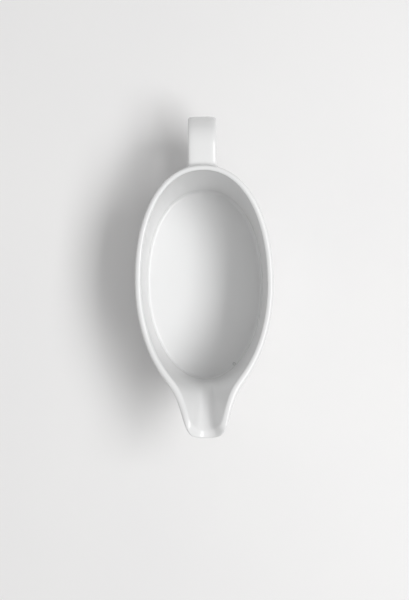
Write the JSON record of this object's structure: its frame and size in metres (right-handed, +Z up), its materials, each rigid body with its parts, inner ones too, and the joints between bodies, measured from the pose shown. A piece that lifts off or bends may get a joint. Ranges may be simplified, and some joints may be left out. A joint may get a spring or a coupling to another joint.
{
  "type": "gravy boat",
  "caption": "Oval gravy boat in white glazed porcelain, with steep walls, an open pouring lip, a flat strap handle and a low oval foot ring.",
  "frame": {"origin": "on the standing plane, under the middle of the bounding box", "axes": "+Z up, +Y along the body towards the handle, -Y towards the pouring lip, X across the width"},
  "size_m": [0.0902, 0.212, 0.0802],
  "materials": {
    "white_glaze": "gloss",
    "handle_glaze": "gloss",
    "bare_foot": "matte"
  },
  "bodies": {
    "root": {"bowl": "white_glaze", "handle": "handle_glaze", "foot_ring": "bare_foot"}
  },
  "joints": []
}
